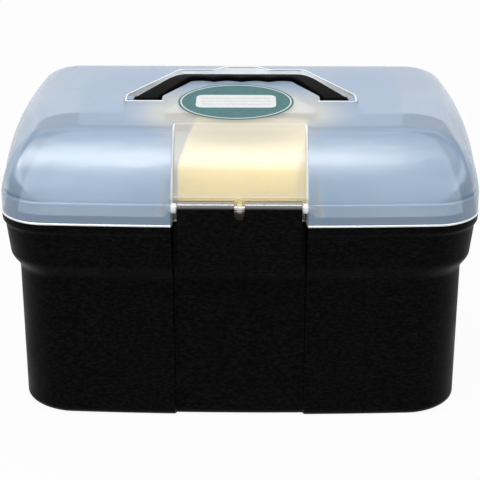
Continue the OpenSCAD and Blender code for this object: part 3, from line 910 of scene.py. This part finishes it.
# How far a cutting shape goes past what it cuts, and a small margin
OVERRUN = 5.0
MARGIN = 1.0


def groove_line():
    """Finger grooves along the front of the grip, as arcs between cusps, from right to left."""
    places = [k / GROOVE_STEPS for k in range(2, GROOVE_COUNT * GROOVE_STEPS - 1)]
    depths = [GROOVE_DEPTH * abs(math.sin(math.pi * s)) for s in places]
    return [(GROOVE_HALF - GROOVE_PITCH * s, GRIP_FRONT + depth) for s, depth in zip(places, depths)]


def channel_edge(g):
    """Outer edge of the recess for the handle, grown by a wall, from the right pocket to the left one."""
    xo = FOOT_OUTER + FOOT_GAP + g
    xi = FOOT_INNER - HANDLE_GAP - g
    xb = GRIP_HALF + g
    yb = GRIP_BACK + FINGER_GAP + g
    s = SCOOP_HALF + g
    yf = POCKET_FRONT - g
    yo = PIVOT_Y + HANDLE_GAP
    right = [(xi, yf), (xo, yf), (xo, yo), (xb, yb), (s, yb), (s - SCOOP_D, yb + SCOOP_D)]
    return right + [(-x, y) for x, y in reversed(right)]


def channel(g, z0, z1, slot):
    """The recess as a solid, grown by a wall; its front edge follows the finger grooves."""
    xi = FOOT_INNER - HANDLE_GAP - g
    edge = [(-x * GROOVE_DRAW, y - GROOVE_GAP - g) for x, y in groove_line()]
    outline = channel_edge(g) + [(-xi, PIVOT_Y)] + edge + [(xi, PIVOT_Y)]
    return prism("channel", rounded_outline(outline, RECESS_R), z0, z1, LID_MATERIALS, slot)


def pocket(side, g, z0, z1, slot):
    """The pocket for one foot as a solid, grown by a wall."""
    x0 = FOOT_INNER - HANDLE_GAP - g
    x1 = FOOT_OUTER + FOOT_GAP + g
    outline = [(side * x0, POCKET_FRONT - g), (side * x1, POCKET_FRONT - g)]
    outline += [(side * x1, POCKET_BACK + g), (side * x0, POCKET_BACK + g)]
    return prism("pocket", rounded_outline(outline, RECESS_R + g), z0, z1, LID_MATERIALS, slot)


def recess_bead():
    """A low rounded bead along the outer edge of the recess, in the near-white painted-highlight look."""
    section = RECESS_BEAD_SECTION
    lines = [rounded_outline_open(channel_edge(RECESS_BEAD * across), RECESS_R) for across, _ in section]
    count = len(lines[0])
    rows = len(section)
    points = [(x, y, TOP_Z + up) for line, (_, up) in zip(lines, section) for x, y in line]
    faces = [(r * count + j, r * count + j + 1, (r + 1) % rows * count + j + 1, (r + 1) % rows * count + j)
             for r in range(rows) for j in range(count - 1)]
    faces += [tuple(r * count for r in range(rows)), tuple(r * count + count - 1 for r in range(rows))]
    return mesh_object("recess_bead", points, faces, LID_MATERIALS, [EDGE_HIGHLIGHT_SLOT] * len(faces))


def stub_boss(side):
    """The boss that hides one stub pin of the handle."""
    x0, x1 = sorted((side * (FOOT_OUTER + END_GAP), side * (FOOT_OUTER + FOOT_GAP + STUB_BOSS_ROOT)))
    return along_x("stub_boss", x0, x1, circle(PIVOT_Y, PIVOT_Z, STUB_BOSS_R), LID_MATERIALS, WALL_SLOT)


def latch_boss(side):
    """The boss beside the latch that carries one end of its pin, in the near-white painted-highlight look."""
    x0, x1 = sorted((side * (LATCH_HALF + END_GAP), side * (BAY_HALF + BOSS_LEN)))
    return along_x("boss", x0, x1, circle(LATCH_Y, LATCH_Z, BOSS_R), LID_MATERIALS, EDGE_HIGHLIGHT_SLOT)


def latch_lug():
    """The lug in the notch of the latch, which carries the middle of its pin."""
    back = FRONT_Y + KNUCKLE_BAY + LID_WALL / 2
    top = LATCH_Z + KNUCKLE_R + LUG_RISE
    profile = arc(LATCH_Y, LATCH_Z, BOSS_R, 90, 270, ARC_STEPS)
    profile += [(back, LATCH_Z - BOSS_R), (back, top), (LATCH_Y, top)]
    return along_x("lug", -LUG_W / 2, LUG_W / 2, profile, LID_MATERIALS, PANEL_GLOW_SLOT)


def lid_knuckle(side):
    """The middle knuckle of one rear hinge."""
    x0 = side * HINGE_X - HINGE_LEN / 2
    rod, web = hinge_knuckle(x0, LID_EDGE_Z, HINGE_Z + HINGE_WEB_H, HALF_D - HINGE_ROOT, LID_MATERIALS)
    combine(rod, web, "UNION")
    return rod


def make_lid():
    lid = lid_shell()
    combine(lid, channel(POCKET_WALL, CHANNEL_Z - POCKET_WALL, TOP_Z - CHANNEL_SINK, WALL_SLOT), "UNION")
    for side in (-1, 1):
        walls = pocket(side, POCKET_WALL, POCKET_Z - POCKET_WALL, TOP_Z - POCKET_SINK, WALL_SLOT)
        combine(lid, walls, "UNION")
    # the cut faces of the recess and the pockets take the painted highlight
    combine(lid, channel(0, CHANNEL_Z, TOP_Z + OVERRUN, EDGE_HIGHLIGHT_SLOT), "DIFFERENCE")
    for side in (-1, 1):
        combine(lid, pocket(side, 0, POCKET_Z, TOP_Z + OVERRUN, EDGE_HIGHLIGHT_SLOT), "DIFFERENCE")
        combine(lid, stub_boss(side), "UNION")
        combine(lid, latch_boss(side), "UNION")
        combine(lid, lid_knuckle(side), "UNION")
    combine(lid, latch_lug(), "UNION")
    join(lid, [recess_bead()])
    lid.name = "lid_frosted"
    shade(lid)
    settle(lid, "lid", "frosted_plastic", "lid_shell")


def handle_bar():
    """The grip with its finger grooves, and legs that get thinner to the feet."""
    back = [(-FOOT_OUTER, PIVOT_Y), (-GRIP_HALF, GRIP_BACK), (GRIP_HALF, GRIP_BACK), (FOOT_OUTER, PIVOT_Y)]
    front = [(FOOT_INNER, PIVOT_Y)] + groove_line() + [(-FOOT_INNER, PIVOT_Y)]
    outline = rounded_outline_open(back, GRIP_CORNER_R) + front
    bar = prism("swing_handle", outline, HANDLE_Z, HANDLE_TOP, [HANDLE_BLACK])
    top = HANDLE_TOP + OVERRUN
    wedge = [(PIVOT_Y - OVERRUN, SLOPE_END_Z - OVERRUN * SLOPE_RATE),
             (SLOPE_Y + OVERRUN / SLOPE_RATE, top), (PIVOT_Y - OVERRUN, top)]
    cut = along_x("slope", -FOOT_OUTER - MARGIN, FOOT_OUTER + MARGIN, wedge, [HANDLE_BLACK])
    combine(bar, cut, "DIFFERENCE")
    return bar


def handle_foot(side):
    """One round foot, whose outer end leans in with the leg."""
    x0, x1 = sorted((side * FOOT_INNER, side * FOOT_OUTER))
    foot = along_x("foot", x0, x1, circle(PIVOT_Y, PIVOT_Z, FOOT_R), [HANDLE_BLACK])
    lean = (FOOT_OUTER - GRIP_HALF) / (GRIP_BACK - PIVOT_Y)
    for v in foot.data.vertices:
        if abs(v.co.x) > (FOOT_OUTER - MARGIN) * MM:
            v.co.x -= side * lean * max(0, v.co.y - PIVOT_Y * MM)
    return foot


def handle_stub(side):
    """One stub pin."""
    x0, x1 = sorted((side * (FOOT_OUTER - MARGIN), side * (FOOT_OUTER + FOOT_GAP + POCKET_WALL)))
    return along_x("stub", x0, x1, circle(PIVOT_Y, PIVOT_Z, STUB_R, STUB_STEPS), [HANDLE_BLACK])


def make_handle():
    handle = handle_bar()
    shells = []
    for side in (-1, 1):
        shells += [handle_foot(side), handle_stub(side)]
    bevel(handle, GRIP_EDGE, segments=4)
    for shell in shells:
        bevel(shell, FOOT_EDGE, segments=2)
    join(handle, shells)
    shade(handle, angle=40)
    settle(handle, "handle", "handle_plastic", "carry_handle")


# Latch; its catch is a line of depths behind the plate and drops below CATCH_Z
KNUCKLE_STEPS = 30
LATCH_DROP = 43.8
LATCH_LIP = 1.5
LATCH_EDGE = 0.5
FLARE_H = 5.0
FLARE_SHARE = 0.4
CATCH_SINK = 16.3
CATCH_Z = TUB_H - CATCH_SINK
CATCH = ((0.0, 0.0), (0.8, 1.0), (0.8, 2.0), (0.0, 4.0))
NOTCH_W = 6.4
NOTCH_DROP = 7.0
NOTCH_FLARE = 0.6


def latch_profile():
    """Side view: the rolled knuckle, the catch behind the plate and the lip that flares at the bottom."""
    front = FRONT_Y
    back = FRONT_Y + LATCH_T
    low = LATCH_Z - LATCH_DROP
    tip = front - LATCH_LIP
    end = -180 + math.degrees(math.acos((LATCH_Y - back) / KNUCKLE_R))
    profile = arc(LATCH_Y, LATCH_Z, KNUCKLE_R, 180, end, KNUCKLE_STEPS)
    profile += [(back + depth, CATCH_Z - drop) for depth, drop in CATCH]
    profile += [(back, low + FLARE_H), (back - LATCH_LIP, low)]
    profile += [(tip + LATCH_EDGE, low), (tip, low + LATCH_EDGE)]
    return profile + [(front - LATCH_LIP * FLARE_SHARE, low + FLARE_H), (front, low + 2 * FLARE_H)]


def latch_notch():
    """The round-bottomed notch for the lug."""
    half = NOTCH_W / 2
    top = LATCH_Z + KNUCKLE_R + OVERRUN
    outline = arc(0, LATCH_Z - NOTCH_DROP + half, half, 180, 360, ARC_STEPS)
    outline += [(half + NOTCH_FLARE, top), (-half - NOTCH_FLARE, top)]
    return along_y("notch", FRONT_Y - OVERRUN, LATCH_Y + KNUCKLE_R + OVERRUN, outline, [LATCH_BLACK])


def make_latch():
    latch = along_x("snap_latch", -LATCH_HALF, LATCH_HALF, latch_profile(), [LATCH_BLACK])
    combine(latch, latch_notch(), "DIFFERENCE")
    bevel(latch, LATCH_EDGE)
    shade(latch, angle=40)
    settle(latch, "latch", "handle_plastic", "front_latch")


# Sponge
SPONGE_HALF = (42.0, 55.0, 33.0)
SPONGE_TURN_DEG = -5
SPONGE_R = 3.0
SPONGE_CUTS = 46
SPONGE_SQUEEZE = 1.2
PORE_DEPTH = 0.35
PORE_LEAST = 0.25
PORE_SCALES = (0.6, 1.4)


def foam_place(cube):
    """A place on a cube of size 2, moved to the rounded, squeezed and porous skin of the sponge."""
    place = Vector([share * half for share, half in zip(cube, SPONGE_HALF)])
    core = Vector([max(SPONGE_R - half, min(half - SPONGE_R, c)) for c, half in zip(place, SPONGE_HALF)])
    out = (place - core).normalized()
    place = core + out * SPONGE_R
    squeeze = SPONGE_SQUEEZE * abs(cube.x * cube.y)
    place.x -= math.copysign(squeeze, place.x)
    place.y -= math.copysign(squeeze, place.y)
    grain = sum(noise.noise(place * scale) / len(PORE_SCALES) for scale in PORE_SCALES)
    depth = PORE_DEPTH * (PORE_LEAST + max(0, grain))
    return place - out * depth


def make_sponge():
    """A block of foam with soft edges, sides that stand in a little and an open porous skin."""
    low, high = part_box("grooming_sponge")
    centre = (Vector(low) + Vector(high)) / 2
    work = bmesh.new()
    bmesh.ops.create_cube(work, size=2)
    bmesh.ops.subdivide_edges(work, edges=work.edges, cuts=SPONGE_CUTS, use_grid_fill=True)
    for v in work.verts:
        v.co = foam_place(v.co) * MM
    bmesh.ops.recalc_face_normals(work, faces=work.faces)
    mesh = bpy.data.meshes.new("foam_block")
    work.to_mesh(mesh)
    work.free()
    mesh.materials.append(FOAM)
    mesh.transform(Matrix.Translation(centre) @ Matrix.Rotation(math.radians(SPONGE_TURN_DEG), 4, "Z"))
    sponge = bpy.data.objects.new("foam_block", mesh)
    bpy.context.collection.objects.link(sponge)
    for face in mesh.polygons:
        face.use_smooth = True
    settle(sponge, "tub", "foam", "grooming_sponge")


# Label: an oval film with a pinstripe, a write-on field and three rules
LABEL_X = -3.4
LABEL_Y = -18.0
LABEL_A = 40.5
LABEL_B = 42.0
FILM_T = 0.18
INK_T = 0.05
RULE_INK_T = 0.04
STRIPE_INNER = (2.4, 3.2)
STRIPE_OUTER = (1.5, 2.0)
FIELD_HALF_W = 28.0
FIELD_HALF_D = 15.0
FIELD_R = 6.0
FIELD_CORNER_STEPS = 8
RULE_HALF_W = 24.0
RULE_HALF_D = 0.35
RULE_PLACES = (-7.0, 0.0, 7.0)


def label_oval(inset_a=0.0, inset_b=0.0):
    return ellipse(LABEL_X, LABEL_Y, LABEL_A - inset_a, LABEL_B - inset_b)


def label_box(half_w, half_d, y=0.0):
    """A rectangle on the label, moved back by y."""
    shares = ((-1, -1), (1, -1), (1, 1), (-1, 1))
    return [(LABEL_X + half_w * right, LABEL_Y + y + half_d * back) for right, back in shares]


def flat_ring(name, inner, outer, z0, z1, material):
    count = len(inner)
    points = [(x, y, z) for z in (z0, z1) for line in (inner, outer) for x, y in line]
    faces = []
    for j in range(count):
        k = (j + 1) % count
        faces.append((j, k, count + k, count + j))
        faces.append((2 * count + j, 2 * count + k, 3 * count + k, 3 * count + j))
        faces.append((j, k, 2 * count + k, 2 * count + j))
        faces.append((count + j, count + k, 3 * count + k, 3 * count + j))
    return mesh_object(name, points, faces, [material])


def make_label():
    low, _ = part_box("name_label")
    film_z = low[2] / MM
    ink_z = film_z + FILM_T
    rule_z = ink_z + INK_T
    base = prism("label_film", label_oval(), film_z, ink_z, [LABEL_GREEN])
    settle(base, "lid", "label", "name_label")
    inner = label_oval(*STRIPE_INNER)
    outer = label_oval(*STRIPE_OUTER)
    stripe = flat_ring("label_pinstripe", inner, outer, ink_z, rule_z, LABEL_WHITE)
    settle(stripe, "lid", "label")
    outline = rounded_outline(label_box(FIELD_HALF_W, FIELD_HALF_D), FIELD_R, FIELD_CORNER_STEPS)
    field = prism("label_write_on", outline, ink_z, rule_z, [LABEL_WHITE])
    settle(field, "lid", "label")
    for k, y in enumerate(RULE_PLACES):
        line = label_box(RULE_HALF_W, RULE_HALF_D, y)
        rule = prism("label_rule_%d" % (k + 1), line, rule_z, rule_z + RULE_INK_T, [LABEL_GREY])
        settle(rule, "lid", "label")


def dress(node, material):
    """Gives a node of the frame its material; its shape stays."""
    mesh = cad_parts[node].data
    mesh.materials.clear()
    mesh.materials.append(material)


make_tub()
make_lid()
make_handle()
make_latch()
make_sponge()
make_label()
dress("lift_out_tray", TRAY_PALE)
for pin in ("latch_hinge_pin", "rear_hinge_pin_left", "rear_hinge_pin_right"):
    dress(pin, STEEL)

# Floor, world and lights
FLOOR_HALF = 4000
FLOOR_GREY = 0.7
FLOOR_GLOW_SHARE = 0.95
WORLD_LEVEL = 0.36


def seen_rays(nodes, links):
    """1 for rays from the camera, in mirrors and through clear pieces, and 0 for other rays."""
    path = nodes.new("ShaderNodeLightPath")
    value = path.outputs["Is Camera Ray"]
    for name in ("Is Glossy Ray", "Is Transmission Ray"):
        larger = nodes.new("ShaderNodeMath")
        larger.operation = "MAXIMUM"
        links.new(value, larger.inputs[0])
        links.new(path.outputs[name], larger.inputs[1])
        value = larger.outputs[0]
    return value


def floor_white():
    """Pale floor that lights the box as a grey one and is seen as nearly white."""
    material, nodes, links, shader = new_material("floor_white")
    shader.inputs["Base Color"].default_value = grey(FLOOR_GREY)
    shader.inputs["Roughness"].default_value = 0.9
    shader.inputs["Specular IOR Level"].default_value = 0
    glow = nodes.new("ShaderNodeEmission")
    glow.inputs["Strength"].default_value = 1
    share = nodes.new("ShaderNodeMath")
    share.operation = "MULTIPLY"
    share.inputs[1].default_value = FLOOR_GLOW_SHARE
    links.new(seen_rays(nodes, links), share.inputs[0])
    mix = nodes.new("ShaderNodeMixShader")
    links.new(share.outputs[0], mix.inputs["Fac"])
    links.new(shader.outputs["BSDF"], mix.inputs[1])
    links.new(glow.outputs["Emission"], mix.inputs[2])
    links.new(mix.outputs["Shader"], nodes["Material Output"].inputs["Surface"])
    return material


def make_floor():
    size = FLOOR_HALF
    points = [(-size, -size, 0), (size, -size, 0), (size, size, 0), (-size, size, 0)]
    floor = mesh_object("floor", points, [(0, 1, 2, 3)], [floor_white()])


def make_world():
    """White where it is seen, and a dimmer light on the box."""
    world = bpy.data.worlds.new("studio")
    bpy.context.scene.world = world
    world.use_nodes = True
    nodes = world.node_tree.nodes
    links = world.node_tree.links
    ground = nodes["Background"]
    ground.inputs["Color"].default_value = (1, 1, 1, 1)
    level = nodes.new("ShaderNodeMapRange")
    level.inputs["To Min"].default_value = WORLD_LEVEL
    links.new(seen_rays(nodes, links), level.inputs["Value"])
    links.new(level.outputs["Result"], ground.inputs["Strength"])


def softbox(name, place, target, width, height, watts):
    """A rectangular lamp; places and sizes are in metres."""
    data = bpy.data.lights.new(name, "AREA")
    data.shape = "RECTANGLE"
    data.size = width
    data.size_y = height
    data.energy = watts
    light = bpy.data.objects.new(name, data)
    bpy.context.collection.objects.link(light)
    aim(light, Vector(place), Vector(target))


make_floor()
make_world()
softbox("key", (-0.35, -0.42, 1.44), (-0.35, -0.11, 0.18), width=1.3, height=0.16, watts=7.5)
softbox("top", (0, 0.75, 1.5), (0, 0.4, 0.2), width=1.6, height=1.3, watts=6)
softbox("fill_left", (-1.35, -1.0, 1.75), (0, 0, 0.16), width=1.5, height=1.3, watts=15.5)
softbox("fill_right", (1.35, -1.0, 1.75), (0, 0, 0.16), width=1.5, height=1.3, watts=13)
bpy.context.scene.view_settings.view_transform = "Standard"
